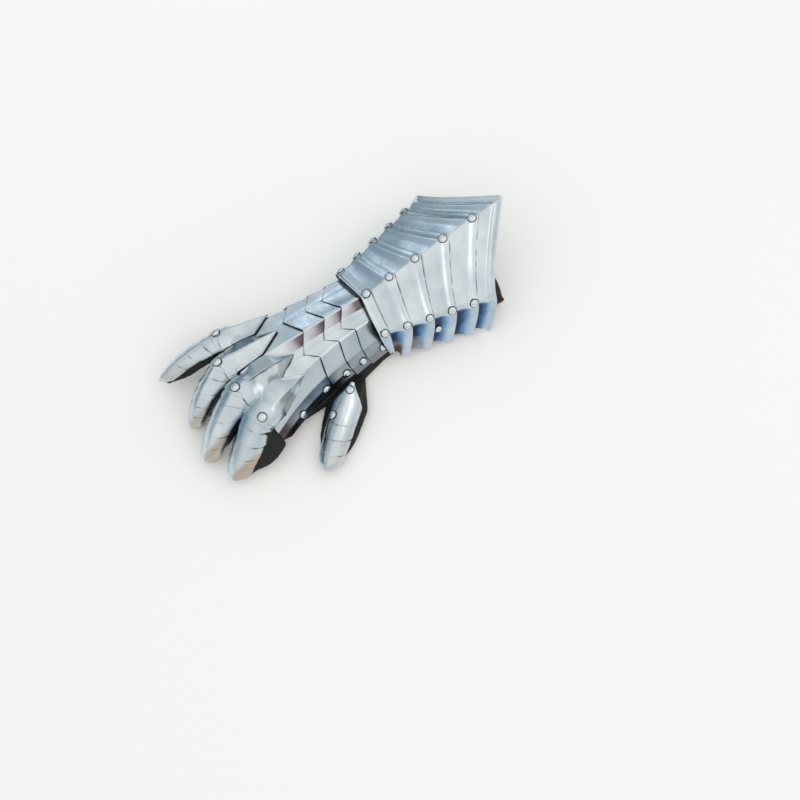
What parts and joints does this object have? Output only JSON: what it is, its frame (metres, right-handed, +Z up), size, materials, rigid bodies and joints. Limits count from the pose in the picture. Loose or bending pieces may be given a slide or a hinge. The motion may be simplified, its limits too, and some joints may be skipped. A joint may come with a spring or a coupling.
{
  "type": "armoured gauntlet",
  "caption": "Right-hand plate gauntlet: flared ridged steel cuff of lapping lames, pointed hand scales, lapping finger plates, over a leather glove.",
  "frame": {"origin": "middle of the gauntlet's bounding box in plan, on the surface that the palm lies on", "axes": "+Z up out of the back of the hand, +X towards the elbow end, -X towards the fingertips, -Y towards the thumb"},
  "size_m": [0.359, 0.1876, 0.0921],
  "materials": {
    "polished_steel": "polished",
    "black_leather": "satin"
  },
  "bodies": {
    "root": {"cuff_lame_1": "polished_steel", "cuff_lame_2": "polished_steel", "cuff_lame_3": "polished_steel", "cuff_lame_4": "polished_steel", "cuff_lame_5": "polished_steel", "cuff_lame_6": "polished_steel", "cuff_strap": "black_leather", "glove_body": "black_leather", "glove_index": "black_leather", "glove_middle": "black_leather", "glove_pinky": "black_leather", "glove_ring": "black_leather", "glove_thumb": "black_leather", "hand_lame_1": "polished_steel", "hand_lame_2": "polished_steel", "hand_lame_3": "polished_steel", "hand_lame_4": "polished_steel", "knuckle_plate_index": "polished_steel", "knuckle_plate_middle": "polished_steel", "knuckle_plate_pinky": "polished_steel", "knuckle_plate_ring": "polished_steel", "scale_index_1": "polished_steel", "scale_index_2": "polished_steel", "scale_index_3": "polished_steel", "scale_index_4": "polished_steel", "scale_index_5": "polished_steel", "scale_middle_1": "polished_steel", "scale_middle_2": "polished_steel", "scale_middle_3": "polished_steel", "scale_middle_4": "polished_steel", "scale_middle_5": "polished_steel", "scale_pinky_1": "polished_steel", "scale_pinky_2": "polished_steel", "scale_pinky_3": "polished_steel", "scale_pinky_4": "polished_steel", "scale_pinky_5": "polished_steel", "scale_ring_1": "polished_steel", "scale_ring_2": "polished_steel", "scale_ring_3": "polished_steel", "scale_ring_4": "polished_steel", "scale_ring_5": "polished_steel", "thumb_plate_1": "polished_steel", "thumb_plate_2": "polished_steel", "thumb_plate_3": "polished_steel", "thumb_plate_4": "polished_steel"}
  },
  "joints": []
}
